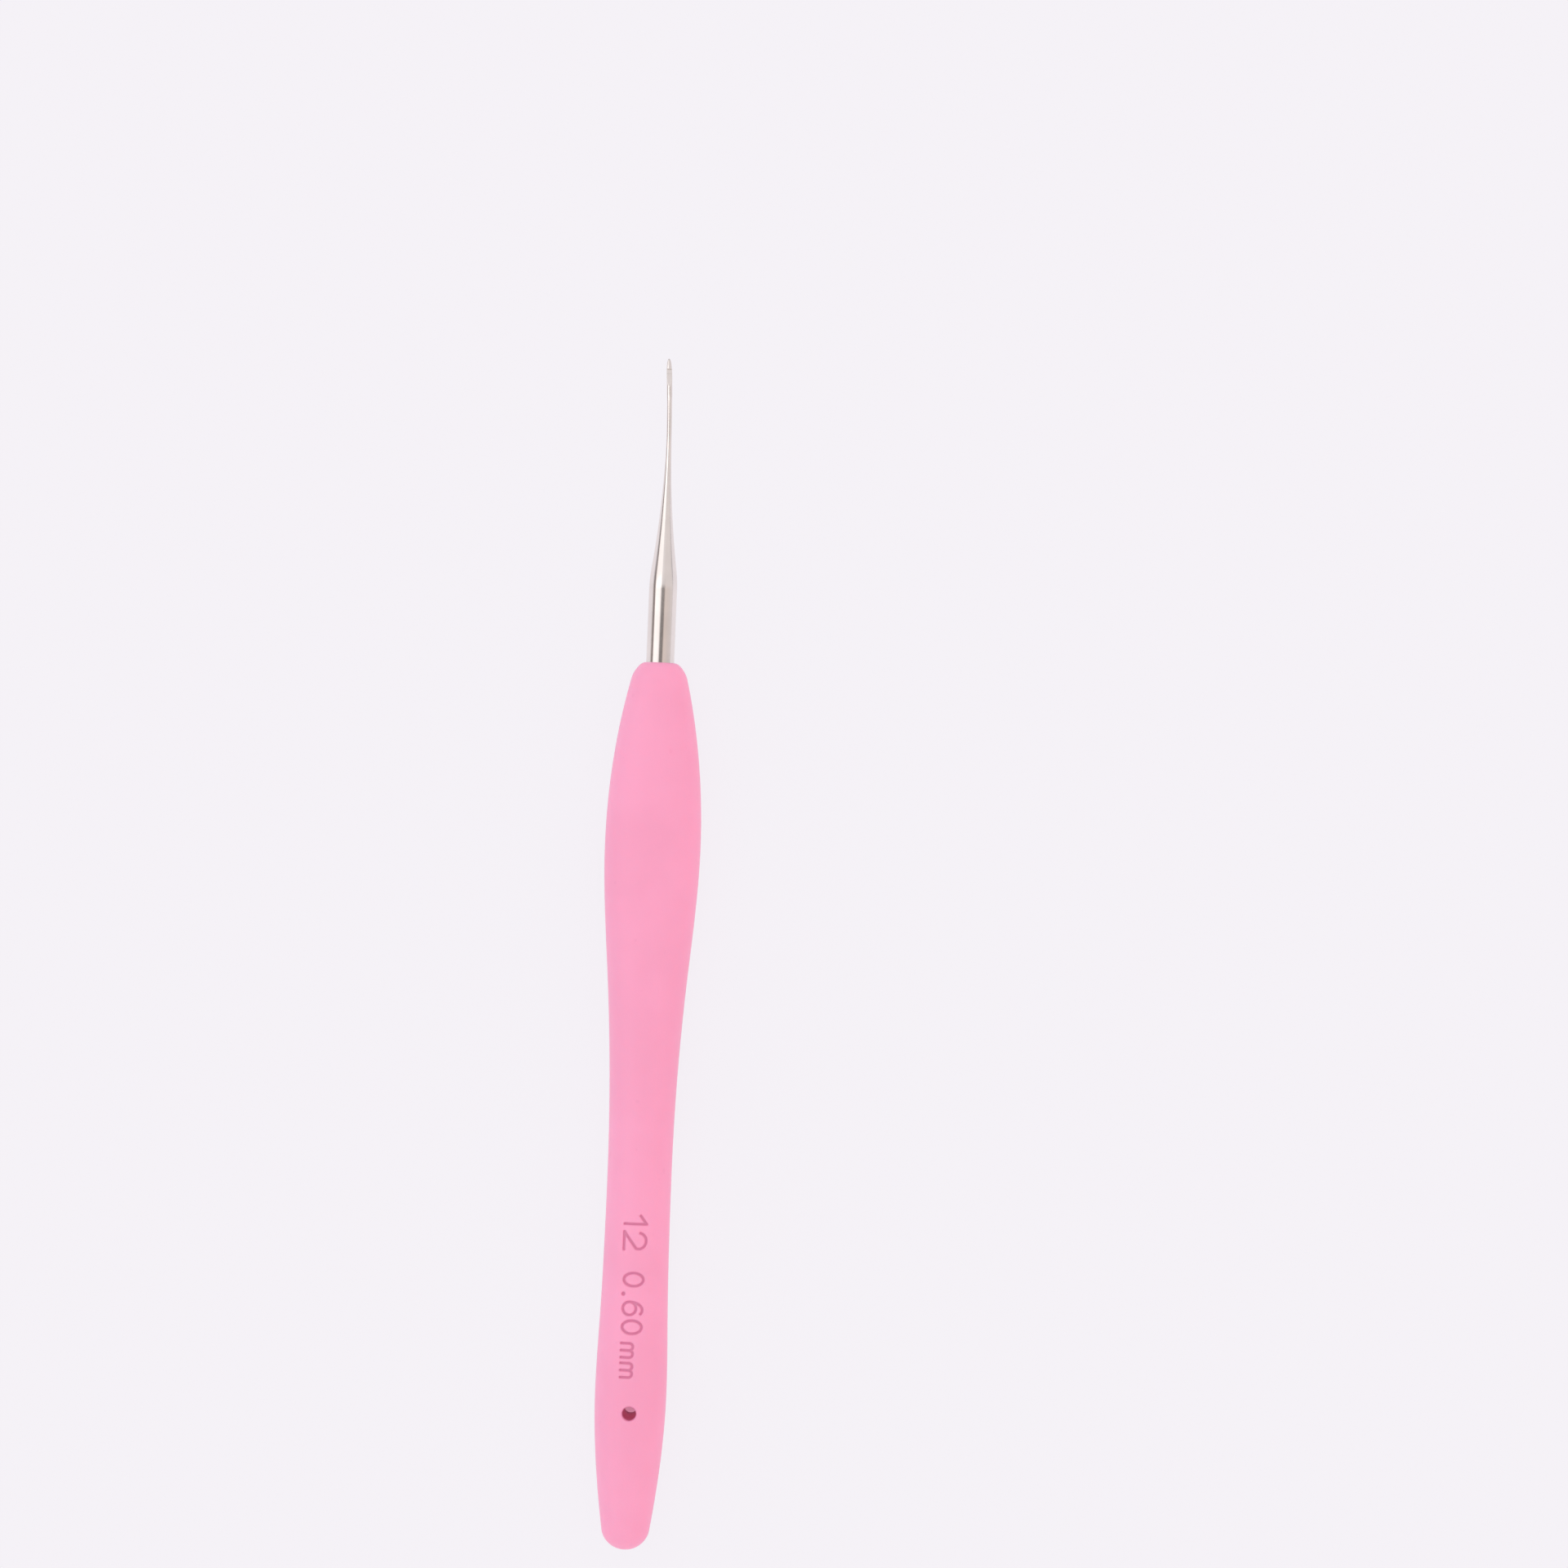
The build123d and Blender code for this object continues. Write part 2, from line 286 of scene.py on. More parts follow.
def soft_cover_finish(colours):
    """Pink elastomer: satin, faintly mottled, with painted shade in the marking and the hole, and a
    painted glow on the hole's wall.
    """
    material = bpy.data.materials.new("soft_cover")
    tree = Tree(material)
    even = tree.stretched(1, 1, 1)
    cloud = tree.noise(even, 90.0, 3.0)
    grain = tree.noise(even, 5200.0, 2.0, 0.6)
    recess_shade = tree.add("ShaderNodeAttribute", {"attribute_name": "recess_shade"}, (), "Fac")
    specks = tree.noise(even, 900.0, 1.0).ease(0.74, 0.80)
    base = tree.blend(
        cloud.ease(0.35, 0.65),
        opaque(shade(colours.cover, 0.975)),
        opaque(shade(colours.cover, 1.02)),
    )
    # Faint specks, in the colour of the marking's painted shade
    base = tree.blend(specks * 0.10, base, opaque(colours.mark_shade_and_specks))
    # Painted shade in the pressed marking and on the hole's rim
    base = tree.blend(recess_shade.ease(0.0, 0.5), base, opaque(colours.mark_shade_and_specks))
    # Painted shade on the hole's wall
    base = tree.blend(recess_shade.ease(0.5, 1.0), base, opaque(colours.hole_wall_shade))
    tree.surface(
        {
            "Base Color": base,
            "Roughness": 0.40 + cloud * 0.10,
            "Specular IOR Level": 0.45,
            "Subsurface Weight": 0.25,
            "Subsurface Radius": (1.0, 0.35, 0.45),
            "Subsurface Scale": 1.2 * MM,
            # Painted glow on the hole's wall, strongest half way through it
            "Emission Color": tree.blend(
                recess_shade.ease(0.5, 1.0), (0.0, 0.0, 0.0, 1.0), opaque(colours.painted_hole_glow)
            ),
            "Emission Strength": 1.0,
            "Normal": tree.bump(grain, 0.012 * MM, 0.5),
        }
    )
    return material


def plated_steel_finish(colours):
    """Polished nickel plate, with the faint lengthwise lines that polishing leaves."""
    material = bpy.data.materials.new("plated_steel")
    tree = Tree(material)
    drawn = tree.stretched(60, 9000, 9000)
    lines = tree.noise(drawn, 1.0, 3.0, 0.6)
    cloud = tree.noise(tree.stretched(1, 1, 1), 400.0)
    base = tree.blend(
        cloud.ease(0.3, 0.7), opaque(shade(colours.steel, 0.95)), opaque(colours.steel)
    )
    tree.surface(
        {
            "Base Color": base,
            "Metallic": 1.0,
            "Roughness": 0.13 + lines * 0.08,
            "Normal": tree.bump(lines, 0.002 * MM, 0.4),
        }
    )
    return material


def core_plastic_finish(colours):
    """Natural moulded plastic, a little cloudy."""
    material = bpy.data.materials.new("core_plastic")
    tree = Tree(material)
    cloud = tree.noise(tree.stretched(1, 1, 1), 150.0)
    grain = tree.noise(tree.stretched(1, 1, 1), 3000.0)
    base = tree.blend(
        cloud.ease(0.3, 0.7), opaque(shade(colours.core, 0.94)), opaque(colours.core)
    )
    tree.surface(
        {
            "Base Color": base,
            "Roughness": 0.45 + cloud * 0.1,
            "Normal": tree.bump(grain, 0.01 * MM, 0.5),
        }
    )
    return material


# Round the hole's middle: how far the painted pink shade is full, and where it ends
PINK_SHADE = (1.8 * MM, 2.4 * MM)


def floor_finish(colours, shadow, hole_x):
    """A pale matt surface that keeps its own tone, takes a faint shadow and has a painted pink
    shade under the handle's hole."""
    material = bpy.data.materials.new("pale_floor")
    tree = Tree(material)
    cloud = tree.noise(tree.stretched(1, 1, 1), 40.0)
    base = tree.blend(cloud, opaque(shade(colours.floor, 0.985)), opaque(colours.floor))
    matt = tree.add(
        "ShaderNodeBsdfPrincipled",
        {},
        {"Base Color": base, "Roughness": 0.9, "Specular IOR Level": 0.0},
    )
    along, across = tree.parts(tree.stretched(1, 1, 1))[:2]
    away = along - hole_x
    full, end = PINK_SHADE
    past_hole = (away * away + across * across).ease(full**2, end**2)
    # Painted pink shade on the floor round the spot under the hole
    tone = tree.blend(past_hole, opaque(colours.under), opaque(colours.floor))
    glow = tree.add(
        "ShaderNodeBsdfPrincipled",
        {},
        {
            "Base Color": (0.0, 0.0, 0.0, 1.0),
            "Roughness": 1.0,
            "Specular IOR Level": 0.0,
            "Emission Color": tone,
            "Emission Strength": 1.0,
        },
    )
    own_tone = tree.rays("Camera", "Glossy", "Transmission") * (1 - shadow)
    shown = tree.add("ShaderNodeMixShader", {}, {0: own_tone, 1: matt, 2: glow})
    tree.add("ShaderNodeOutputMaterial", {}, {"Surface": shown})
    return material


# ---------------------------------------------------------------- mesh helpers


class Skin:
    """Points and faces of one piece, gathered ring by ring in millimetres."""

    def __init__(self):
        self.points = []
        self.tags = []
        self.faces = []

    def ring(self, points, tags=None):
        """Adds points and gives their numbers."""
        first = len(self.points)
        self.points.extend(points)
        self.tags.extend(tags if tags is not None else [0.0] * len(points))
        return list(range(first, len(self.points)))

    def bridge(self, low, high):
        """Joins two closed rings of as many points with quads."""
        for j, (a, b) in enumerate(zip(low, high)):
            k = (j + 1) % len(low)
            self.faces.append((a, low[k], high[k], b))

    def cap(self, ring, point):
        """Closes a ring on one point."""
        tip = self.ring([point])[0]
        for j, a in enumerate(ring):
            self.faces.append((a, ring[(j + 1) % len(ring)], tip))

    def build(self, name, material, tag_name=None):
        """Makes the object, with its faces turned outwards and shaded smooth."""
        mesh = bpy.data.meshes.new(name)
        places = np.asarray(self.points, float) * MM
        mesh.from_pydata(places.tolist(), [], self.faces)
        if tag_name:
            layer = mesh.attributes.new(tag_name, "FLOAT", "POINT")
            layer.data.foreach_set("value", np.asarray(self.tags, np.float32))
        shape = bmesh.new()
        shape.from_mesh(mesh)
        loose = [vert for vert in shape.verts if not vert.link_faces]
        bmesh.ops.delete(shape, geom=loose, context="VERTS")
        bmesh.ops.recalc_face_normals(shape, faces=shape.faces)
        for face in shape.faces:
            face.smooth = True
        shape.to_mesh(mesh)
        shape.free()
        mesh.materials.append(material)
        piece = bpy.data.objects.new(name, mesh)
        bpy.context.scene.collection.objects.link(piece)
        return piece


def steps(start, end, pitch):
    """Even places from start to end, about a pitch apart, both ends included."""
    return np.linspace(start, end, max(2, int(round(abs(end - start) / pitch)) + 1))


def joined(*runs):
    """Runs of places put end to end, each shared end kept once."""
    places = list(runs[0])
    for run in runs[1:]:
        places.extend(run[1:])
    return np.asarray(places)


def smooth_step(value):
    value = np.clip(value, 0.0, 1.0)
    return value * value * (3 - 2 * value)


def through(stops, s):
    """A smooth line through (place, value, slope) stops, made of cubic spans."""
    s = np.asarray(s, float)
    line = np.zeros_like(s)
    for (s0, v0, m0), (s1, v1, m1) in zip(stops, stops[1:]):
        inside = (s >= s0 - 1e-9) & (s <= s1 + 1e-9)
        t = (s[inside] - s0) / (s1 - s0)
        rise = t * t * (3 - 2 * t)
        line[inside] = (
            v0 * (1 - rise)
            + v1 * rise
            + (s1 - s0) * (m0 * t * (1 - t) ** 2 - m1 * t * t * (1 - t))
        )
    return line


# ---------------------------------------------------------------- the handle's form


NECK_SHARE = 0.40  # the neck's place, from the waist to the shoulder
OVAL, SQUARISH_OVAL = 2.15, 2.60  # how square a section is; 2 is a plain oval


class HandleForm:
    """The handle's outer form, and the same form drawn in for the cavity, in millimetres."""

    def __init__(self, sizes):
        self.length = (COVER_HIGH.x - COVER_LOW.x) / MM
        self.tail_x = COVER_LOW.x / MM
        self.axis_z = AXIS_Z / MM
        self.tail_round = sizes.tail_round / MM
        self.tail_flat = sizes.tail_flat / MM / 2
        self.nose_round = sizes.nose_round / MM
        grip_width = (COVER_HIGH.y - COVER_LOW.y) / MM
        grip_thickness = (COVER_HIGH.z - COVER_LOW.z) / MM
        shoulder = self.length - sizes.shoulder_from_nose / MM
        grip = self.length - sizes.grip_from_nose / MM
        waist = sizes.waist_from_tail / MM
        swell = sizes.swell_from_tail / MM
        neck = waist + NECK_SHARE * (shoulder - waist)
        # Each stop: the place from the tail, half the size there, and its slope
        self.width_stops = [
            (0.0, sizes.tail_width / MM / 2, 0.16),
            (swell, sizes.swell_width / MM / 2, 0.0),
            (waist, sizes.waist_width / MM / 2, -0.02),
            (neck, sizes.neck_width / MM / 2, 0.0),
            (shoulder, sizes.shoulder_width / MM / 2, 0.0705),
            (grip, grip_width / 2, 0.0),
            (self.length, sizes.nose_width / MM / 2, -0.27),
        ]
        self.thickness_stops = [
            (0.0, sizes.tail_thickness / MM / 2, 0.16),
            (swell, sizes.swell_thickness / MM / 2, 0.0),
            (neck, sizes.neck_thickness / MM / 2, 0.0),
            (grip, grip_thickness / 2, 0.0),
            (self.length, sizes.nose_thickness / MM / 2, -0.16),
        ]
        self.squareness_stops = [
            (0.0, OVAL, 0.0),
            (neck, OVAL, 0.0),
            (grip, SQUARISH_OVAL, 0.0),
            (self.length, OVAL, 0.0),
        ]

    def halves(self, s, inset=0.0, start=0.0, end=None, end_half=None):
        """Half width and half thickness at s, drawn in by inset, with both ends rounded."""
        end = self.length if end is None else end
        tail = quarter_round(s - start, self.tail_round)
        nose = quarter_round(end - s, self.nose_round)
        sizes = []
        for stops in (self.width_stops, self.thickness_stops):
            side = through(stops, s) - inset
            side = self.tail_flat + (side - self.tail_flat) * tail
            sizes.append(end_half + (side - end_half) * nose)
        return sizes[0], sizes[1], through(self.squareness_stops, s)


def quarter_round(distance, length):
    """How full a rounded end is at a distance from it, from 0 at the end to 1."""
    share = np.clip(distance / length, 0.0, 1.0)
    return np.sqrt(1 - (1 - share) ** 2)


def round_section(angle, half_width, half_thickness, squareness):
    """Reach of a squarish oval at an angle from its side, measured from its middle."""
    across = np.abs(np.cos(angle)) / half_width
    up = np.abs(np.sin(angle)) / half_thickness
    return (across**squareness + up**squareness) ** (-1 / squareness)


def roof(y, half_width, half_thickness, squareness):
    """Height of a squarish oval's top over its middle, at y across it."""
    share = np.clip(np.abs(y) / half_width, 0.0, 1.0)
    return half_thickness * (1 - share**squareness) ** (1 / squareness)


# ---------------------------------------------------------------- the size marking


def arc(x, y, radius_x, radius_y, start, end, count=18):
    """Points along part of an oval, angles in degrees."""
    turns = np.radians(np.linspace(start, end, count))
    return np.stack([x + radius_x * np.cos(turns), y + radius_y * np.sin(turns)], axis=1)


def glyph_one(height):
    width = 0.38 * height
    stem = np.array([(width, 0), (width, height)])
    flag = np.array([(0, 0.72 * height), (width, height)])
    return width, [stem, flag]


def glyph_two(height):
    width = 0.82 * height
    top = 0.34 * height
    bow = arc(0.5 * width, height - top, 0.45 * width, top, 168, -18)
    return width, [np.vstack([bow, [(0, 0)], [(width, 0)]])]


def glyph_zero(height):
    width = 0.68 * height
    return width, [arc(width / 2, height / 2, width / 2, height / 2, 0, 360, 48)]


def glyph_point(height):
    return 0.0, [arc(0.0, 0.0, 0.08, 0.08, 0, 360, 9)]


def glyph_six(height):
    width = 0.68 * height
    bowl = arc(width / 2, width / 2, width / 2, width / 2, 0, 360, 40)
    back = arc(0.62 * width, width / 2, 0.62 * width, height - width / 2, 180, 62)
    return width, [bowl, back]


def glyph_m(height):
    half = 0.37 * height
    top = 0.60 * height
    arch = 0.7 * top
    paths = [np.array([(k * half, 0), (k * half, arch)]) for k in (0, 1, 2)]
    for k in (0.5, 1.5):
        paths.append(arc(k * half, arch, half / 2, top - arch, 180, 0, 12))
    return 2 * half, paths


CLOSE_GAP, OPEN_GAP, UNIT_GAP = 0.66, 0.92, 1.13
NUMBER_ROW = [(glyph_one, OPEN_GAP), (glyph_two, CLOSE_GAP)]
SIZE_ROW = [
    (glyph_zero, OPEN_GAP),
    (glyph_point, OPEN_GAP),
    (glyph_six, CLOSE_GAP),
    (glyph_zero, UNIT_GAP),
    (glyph_m, CLOSE_GAP),
    (glyph_m, CLOSE_GAP),
]
# Each row of the marking: its characters, start from the tail, baseline across, and height
MARK_ROWS = [(NUMBER_ROW, 39.55, 1.36, 2.55), (SIZE_ROW, 32.85, 1.21, 2.25)]


def mark_paths():
    """The marking's strokes as lines of (distance from the tail, place across)."""
    paths = []
    for row, start, baseline, height in MARK_ROWS:
        along = 0.0
        for glyph, gap in row:
            width, strokes = glyph(height)
            for stroke in strokes:
                s = start - along - stroke[:, 0]
                paths.append(np.stack([s, baseline - stroke[:, 1]], axis=1))
            along += width + gap
    return paths


def distance_to_paths(s, y, paths, reach):
    """Distance from each point to the nearest stroke, up to reach."""
    nearest = np.full(len(s), reach)
    for path in paths:
        low, high = path.min(axis=0) - reach, path.max(axis=0) + reach
        near = np.nonzero((s > low[0]) & (s < high[0]) & (y > low[1]) & (y < high[1]))[0]
        for (s0, y0), (s1, y1) in zip(path, path[1:]):
            run_s, run_y = s1 - s0, y1 - y0
            span = max(run_s**2 + run_y**2, 1e-12)
            t = np.clip(((s[near] - s0) * run_s + (y[near] - y0) * run_y) / span, 0, 1)
            away = np.hypot(s[near] - s0 - t * run_s, y[near] - y0 - t * run_y)
            nearest[near] = np.minimum(nearest[near], away)
    return nearest


# ---------------------------------------------------------------- the cover


# In millimetres
MARK_ZONE = (19.4, 40.0)  # from the tail, where the rows lie close together for the marking
MARK_SIDE = 1.84  # how far the close columns reach on the marking's side
MARK_PITCH = 0.08  # between those rows and columns
MARK_SOFT = 0.07  # half the width of the slope at a pressed stroke's edge
SEAM_FADE = 6.0  # length over which the parting line fades in from each end
HOLE_BLOCK = 1.52  # half of the square block of the grid that holds the hanging hole
EYE_RADIUS = 1.6  # the core's eye, which the cover fills round the hole
EYE_BLOCK = (2.6, 2.1)  # half of the cavity's block round the eye, along and across
BORE_ROOM = 0.03  # between the cover's bore and the shank
BORE_MOUTH = 0.4  # depth of that bore, down to the step to the tang
TANG_STEP = 0.25  # how much the bore narrows there, in radius
CORE_FRONT = 0.3  # how much wider than the shank the cavity's front end is

# How a hole's surround runs in from its block, how its rim turns over, and its wall's rings
SURROUND = (0.25, 0.5, 0.72, 0.88, 1.0)
RIM_TURNS = np.radians([18, 36, 54, 72, 90])
WALL_SHARES = np.linspace(0, 1, 10)[1:-1]

# What the tag for painted shade and glow is in the marking, and at most on the hole's rim and at
# its wall's ends
MARK_TAG, RIM_TAG, WALL_TAG = 0.5, 0.45, 0.55


def cover_columns(top_height):
    """Angles round the handle: close together over the marking and at the parting lines."""
    fine = np.arctan2(top_height, steps(MARK_SIDE, -HOLE_BLOCK, pitch=MARK_PITCH))
    seam = np.radians([0.0, 0.5, 1.0, 1.8, 3.2])
    right = steps(seam[-1], fine[0], pitch=math.radians(5.0))
    left = steps(fine[-1], math.pi - seam[-1], pitch=math.radians(5.0))
    upper = joined(seam, right, fine, left, math.pi - seam[::-1])
    lower = 2 * math.pi - upper[-2:0:-1]
    return np.concatenate([upper, lower])


def walled_hole(skin, form, grid, s_lines, centre, radius, rim, halves):
    """Replaces a block of the grid, top and bottom, by a round hole that goes through."""
    rows = [i for i, s in enumerate(s_lines) if abs(s - centre) <= grid["reach_s"] + 1e-6]
    i0, i1 = rows[0], rows[-1]
    mouths = []
    for side, (j0, j1) in ((1, grid["top"]), (-1, grid["bottom"])):
        columns = list(range(j0, j1 + 1))
        if side < 0:
            columns.reverse()
        edge = [(i0, j) for j in columns]
        edge += [(i, columns[-1]) for i in range(i0 + 1, i1 + 1)]
        edge += [(i1, j) for j in reversed(columns[:-1])]
        edge += [(i, columns[0]) for i in range(i1 - 1, i0, -1)]
        numbers = [grid["index"][i][j] for i, j in edge]
        s_edge = np.array([s_lines[i] for i, j in edge])
        y_edge = np.array([skin.points[n][1] for n in numbers])
        turn = np.arctan2(y_edge, s_edge - centre)
        ring = numbers
        spread = radius + rim
        for share in SURROUND:
            s = s_edge + (centre + spread * np.cos(turn) - s_edge) * share
            y = y_edge + (spread * np.sin(turn) - y_edge) * share
            ring = add_loop(skin, form, ring, s, y, 0.0, side, halves, 0.0)
        if rim > 0:
            for angle in RIM_TURNS:
                reach = radius + rim * (1 - math.sin(angle))
                s, y = centre + reach * np.cos(turn), reach * np.sin(turn)
                drop = rim * (1 - math.cos(angle))
                # The painted shade deepens as the rim turns down into the hole
                tag = RIM_TAG * math.sin(angle)
                ring = add_loop(skin, form, ring, s, y, drop, side, halves, tag)
        mouths.append(ring)
    top, bottom = mouths
    high = np.array([skin.points[n] for n in top])
    low = np.array([skin.points[n] for n in bottom])
    ring = top
    for share in WALL_SHARES:
        points = high + (low - high) * share
        # Painted shade and glow on the wall, strongest half way through it
        tag = min(1.0, WALL_TAG + 1.2 * min(share, 1 - share))
        after = skin.ring(points.tolist(), [tag] * len(points))
        skin.bridge(ring, after)
        ring = after
    skin.bridge(ring, bottom)


def add_loop(skin, form, ring, s, y, drop, side, halves, tag):
    """Adds the next loop of a hole's surround, on the form's top or bottom less a drop."""
    a, b, n = halves(s)
    z = side * (roof(y, a, b, n) - drop)
    points = np.stack([form.tail_x + s, y, form.axis_z + z], axis=1)
    after = skin.ring(points.tolist(), [tag] * len(points))
    skin.bridge(ring, after)
    return after


def skin_surface(skin, form, s_lines, angles, halves, hole, shape=None):
    """Adds one surface of the cover as a grid, with a hole through it; gives its end rings."""
    a, b, n = halves(s_lines)
    reach = round_section(angles[None, :], a[:, None], b[:, None], n[:, None])
    x = np.repeat(form.tail_x + s_lines[:, None], len(angles), axis=1)
    y = reach * np.cos(angles)[None, :]
    z = reach * np.sin(angles)[None, :]
    tags = np.zeros_like(x)
    if shape:
        y, z, tags = shape(x - form.tail_x, y, z)
    centre, radius, rim, reach_s, reach_y = hole
    middle = int(np.argmin(np.abs(s_lines - centre)))
    block = [j for j in range(len(angles)) if abs(y[middle, j]) <= reach_y + 1e-6]
    top = [j for j in block if z[middle, j] > 0]
    bottom = [j for j in block if z[middle, j] < 0]
    index = []
    for i in range(len(s_lines)):
        points = np.stack([x[i], y[i], form.axis_z + z[i]], axis=1)
        index.append(skin.ring(points.tolist(), tags[i].tolist()))
    blocked = set()
    for columns in (top, bottom):
        for j in columns[:-1]:
            blocked.add(j)
    rows = np.nonzero(np.abs(s_lines - centre) <= reach_s + 1e-6)[0]
    i0, i1 = int(rows[0]), int(rows[-1])
    for i in range(len(s_lines) - 1):
        for j in range(len(angles)):
            if i0 <= i < i1 and j in blocked:
                continue
            k = (j + 1) % len(angles)
            skin.faces.append((index[i][j], index[i][k], index[i + 1][k], index[i + 1][j]))
    grid = {
        "index": index,
        "reach_s": reach_s,
        "top": (top[0], top[-1]),
        "bottom": (bottom[0], bottom[-1]),
    }
    walled_hole(skin, form, grid, s_lines, centre, radius, rim, halves)
    return index[0], index[-1]


def make_cover(sizes, material):
    """The soft cover: outer form, pressed marking, hanging hole, and the cavity for the core."""
    form = HandleForm(sizes)
    skin = Skin()
    lip = (NEEDLE_HIGH.z - NEEDLE_LOW.z) / MM / 2
    nose_half = lip + sizes.nose_lip / MM
    hole_s = sizes.hole_from_tail / MM
    hole_r = sizes.hole_width / MM / 2
    turns = np.radians(np.linspace(0, 90, 15))
    tail = form.tail_round * (1 - np.cos(turns))
    nose = form.length - form.nose_round * (1 - np.cos(turns[::-1]))
    low, high = hole_s - HOLE_BLOCK, hole_s + HOLE_BLOCK
    s_lines = joined(
        tail,
        steps(tail[-1], low, pitch=0.7),
        steps(low, high, pitch=0.19),
        steps(high, MARK_ZONE[0], pitch=0.5),
        steps(MARK_ZONE[0], MARK_ZONE[1], pitch=MARK_PITCH),
        steps(MARK_ZONE[1], nose[0], pitch=0.8),
        nose,
    )
    angles = cover_columns(float(through(form.thickness_stops, [hole_s])[0]))
    paths = mark_paths()
    depth, stroke = sizes.mark_depth / MM, sizes.mark_stroke / MM
    seam_width, seam_height = sizes.parting_width / MM / 2, sizes.parting_height / MM

    def outside(s):
        return form.halves(s, end_half=nose_half)

    def pressed(s, y, z):
        """Presses the marking in and raises the parting lines."""
        away = distance_to_paths(s.ravel(), y.ravel(), paths, stroke).reshape(s.shape)
        mark = 1 - smooth_step((away - stroke / 2 + MARK_SOFT) / (2 * MARK_SOFT))
        mark = np.where(z > 0, mark, 0.0)
        seam = np.exp(-((z / seam_width) ** 2)) * seam_height
        seam *= smooth_step(s / SEAM_FADE) * smooth_step((form.length - s) / SEAM_FADE)
        # The marking's tag sets its painted shade
        return y + np.sign(y) * seam, z - mark * depth, MARK_TAG * mark

    hole = (hole_s, hole_r, sizes.hole_rim / MM, HOLE_BLOCK, HOLE_BLOCK)
    tail_ring, nose_ring = skin_surface(skin, form, s_lines, angles, outside, hole, pressed)
    skin.cap(tail_ring, (form.tail_x, 0.0, form.axis_z))
    cavity(skin, form, angles, lip, hole_s, nose_ring)
    return skin.build("soft_grip_cover", material, "recess_shade")


def cavity(skin, form, angles, lip, hole_s, nose_ring):
    """The inside of the cover: a bore for the shank, then the room that the core fills."""
    wall = (CORE_LOW.x - COVER_LOW.x) / MM
    front = (CORE_HIGH.x - COVER_LOW.x) / MM
    ring = nose_ring
    rim, tang = lip + BORE_ROOM, lip - TANG_STEP
    bore = ((-0.05, rim), (-BORE_MOUTH, rim), (-BORE_MOUTH, tang), (front - form.length, tang))
    for s, half in bore:
        points = [
            (form.tail_x + form.length + s, half * math.cos(t), form.axis_z + half * math.sin(t))
            for t in angles
        ]
        after = skin.ring(points)
        skin.bridge(ring, after)
        ring = after

    def inside(s):
        return form.halves(s, inset=wall, start=wall, end=front, end_half=lip + CORE_FRONT)

    turns = np.radians(np.linspace(0, 90, 8))
    tail = wall + form.tail_round * (1 - np.cos(turns))
    nose = front - form.nose_round * (1 - np.cos(turns[::-1]))
    low, high = hole_s - EYE_BLOCK[0], hole_s + EYE_BLOCK[0]
    s_lines = joined(
        tail,
        steps(tail[-1], low, pitch=1.5),
        steps(low, high, pitch=0.5),
        steps(high, nose[0], pitch=2.0),
        nose,
    )
    eye = (hole_s, EYE_RADIUS, 0.0, *EYE_BLOCK)
    low_ring, high_ring = skin_surface(skin, form, s_lines, angles, inside, eye)
    skin.cap(low_ring, (form.tail_x + wall, 0.0, form.axis_z))
    skin.bridge(ring, high_ring)


# ---------------------------------------------------------------- the needle


SHANK_SEGMENTS = 56

# In millimetres
TANG_ROUND = 0.3  # rounding of the tang's buried end
HAIR = 0.02  # how close two rings lie at a sharp step
PRESS_RUN = 0.9  # length over which the pressed flat begins
HEAD_RUN = 0.8  # how far behind the lip the needle begins to close towards its tip
CORNER_BACK, CORNER_AHEAD = 1.8, 2.0  # where the rings lie close round the taper's start
LIP_FOOT, LIP_CRISP = 0.10, 0.106  # the lip's foot behind its edge, and the ring just before it
LIP_EDGE = 0.04  # where the lip's edge meets the head's top
FLOOR_FALL = 0.04  # how much the throat's floor falls towards the lip
SQUARE_BACK, SQUARE_RUN = 0.7, 0.5  # where the head turns squarish, and over what length
# The head: how squarish, how blunt, how much narrower and how much higher at its tip
SQUARE_GAIN, HEAD_BLUNT, HEAD_TAPER, HEAD_LIFT = 1.2, 4.0, 0.12, 0.03


# How softly the shank runs into the taper, in millimetres of its half width.
SOFT_CORNER = 0.2


